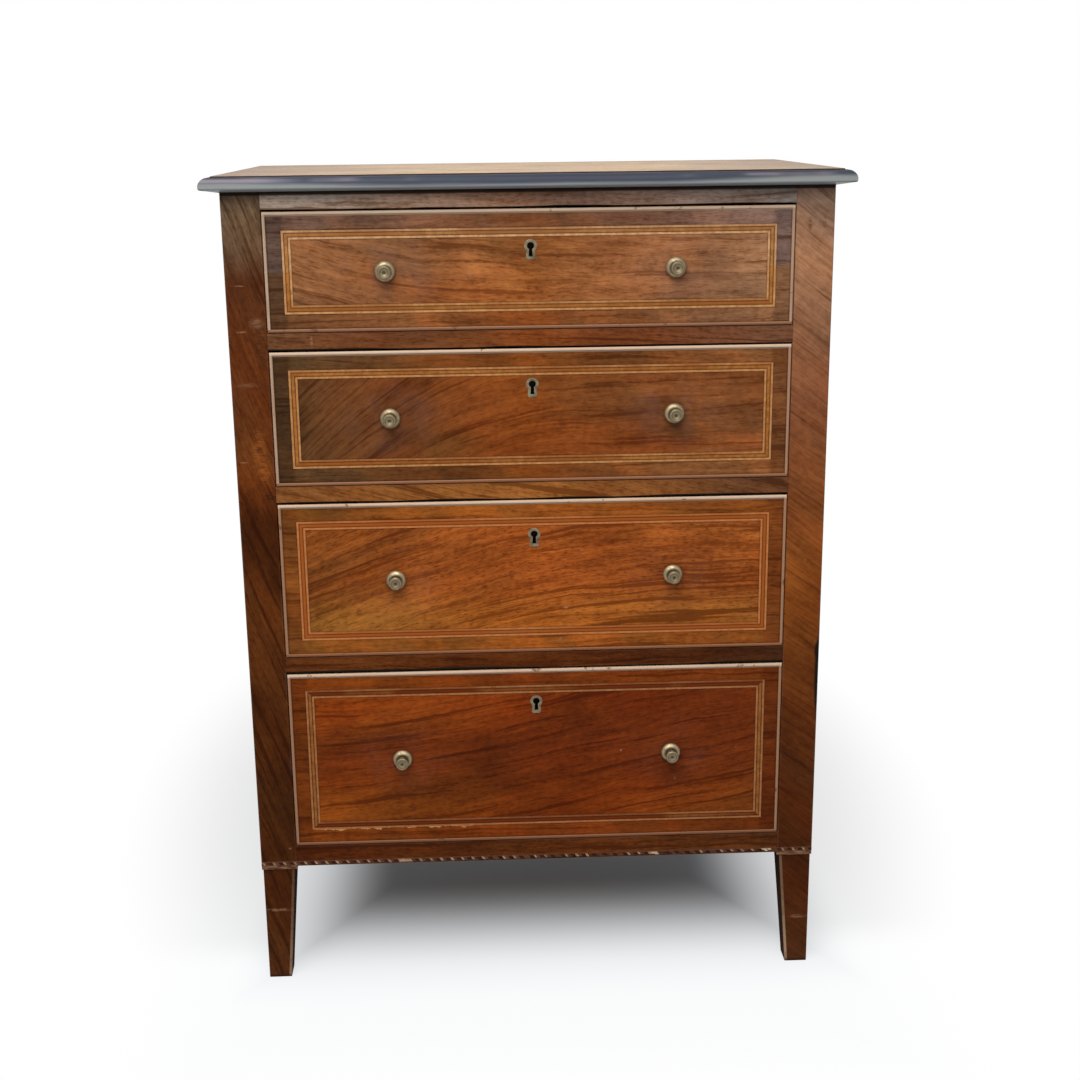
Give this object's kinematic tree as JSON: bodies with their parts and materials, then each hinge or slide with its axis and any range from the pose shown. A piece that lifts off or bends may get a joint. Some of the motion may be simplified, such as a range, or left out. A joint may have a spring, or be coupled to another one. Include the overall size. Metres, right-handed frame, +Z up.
{
  "type": "bachelors chest",
  "caption": "Mahogany chest of graduated cock-beaded drawers with banded fronts, brass knobs and locks, under a moulded top, on square tapered legs.",
  "frame": {"origin": "on the floor, under the middle of the top board", "axes": "+Z up; the drawer fronts face -Y and the drawers pull out that way; +X to the right as seen from the front"},
  "size_m": [0.762, 0.458, 1.0364],
  "materials": {
    "mahogany_carcass": "worn french polish",
    "mahogany_drawers": "worn french polish",
    "mahogany_top": "worn dark polish",
    "oak": "bare, aged",
    "pine": "bare, aged",
    "bead": "worn polish",
    "satinwood": "worn polish",
    "rope_stringing": "worn polish",
    "brass": "aged",
    "iron": "dull"
  },
  "bodies": {
    "carcass": {"back_boards": "pine", "back_rails": "pine", "bottom_rail": "mahogany_carcass", "drawer_guides": "pine", "drawer_rail_1": "mahogany_carcass", "drawer_rail_2": "mahogany_carcass", "drawer_rail_3": "mahogany_carcass", "drawer_runners": "pine", "drawer_stops": "pine", "glue_blocks": "pine", "post_back_left": "mahogany_carcass", "post_back_right": "mahogany_carcass", "post_front_left": "mahogany_carcass", "post_front_right": "mahogany_carcass", "rope_stringing": "rope_stringing", "side_panel_left": "mahogany_carcass", "side_panel_right": "mahogany_carcass", "top_board": "mahogany_top", "top_kickers": "pine", "top_rail": "mahogany_carcass"},
    "drawer_1": {"drawer_1_back": "oak", "drawer_1_bottom": "oak", "drawer_1_cock_bead": "bead", "drawer_1_escutcheon": "brass", "drawer_1_front": "mahogany_drawers", "drawer_1_inlay": "satinwood", "drawer_1_knobs": "brass", "drawer_1_lock": "brass", "drawer_1_sides": "oak"},
    "bolt_1": {"drawer_1_bolt": "iron"},
    "drawer_2": {"drawer_2_back": "oak", "drawer_2_bottom": "oak", "drawer_2_cock_bead": "bead", "drawer_2_escutcheon": "brass", "drawer_2_front": "mahogany_drawers", "drawer_2_inlay": "satinwood", "drawer_2_knobs": "brass", "drawer_2_lock": "brass", "drawer_2_sides": "oak"},
    "bolt_2": {"drawer_2_bolt": "iron"},
    "drawer_3": {"drawer_3_back": "oak", "drawer_3_bottom": "oak", "drawer_3_cock_bead": "bead", "drawer_3_escutcheon": "brass", "drawer_3_front": "mahogany_drawers", "drawer_3_inlay": "satinwood", "drawer_3_knobs": "brass", "drawer_3_lock": "brass", "drawer_3_sides": "oak"},
    "bolt_3": {"drawer_3_bolt": "iron"},
    "drawer_4": {"drawer_4_back": "oak", "drawer_4_bottom": "oak", "drawer_4_cock_bead": "bead", "drawer_4_escutcheon": "brass", "drawer_4_front": "mahogany_drawers", "drawer_4_inlay": "satinwood", "drawer_4_knobs": "brass", "drawer_4_lock": "brass", "drawer_4_sides": "oak"},
    "bolt_4": {"drawer_4_bolt": "iron"}
  },
  "joints": [
    {"name": "drawer_1_slide", "type": "slide", "parent": "carcass", "child": "drawer_1", "axis": [0, -1, 0], "range_m": [0, 0.3]},
    {"name": "drawer_2_slide", "type": "slide", "parent": "carcass", "child": "drawer_2", "axis": [0, -1, 0], "range_m": [0, 0.3]},
    {"name": "drawer_3_slide", "type": "slide", "parent": "carcass", "child": "drawer_3", "axis": [0, -1, 0], "range_m": [0, 0.3]},
    {"name": "drawer_4_slide", "type": "slide", "parent": "carcass", "child": "drawer_4", "axis": [0, -1, 0], "range_m": [0, 0.3]},
    {"name": "bolt_1_slide", "type": "slide", "parent": "drawer_1", "child": "bolt_1", "axis": [0, 0, 1], "range_m": [0, 0.008]},
    {"name": "bolt_2_slide", "type": "slide", "parent": "drawer_2", "child": "bolt_2", "axis": [0, 0, 1], "range_m": [0, 0.008]},
    {"name": "bolt_3_slide", "type": "slide", "parent": "drawer_3", "child": "bolt_3", "axis": [0, 0, 1], "range_m": [0, 0.008]},
    {"name": "bolt_4_slide", "type": "slide", "parent": "drawer_4", "child": "bolt_4", "axis": [0, 0, 1], "range_m": [0, 0.008]}
  ]
}
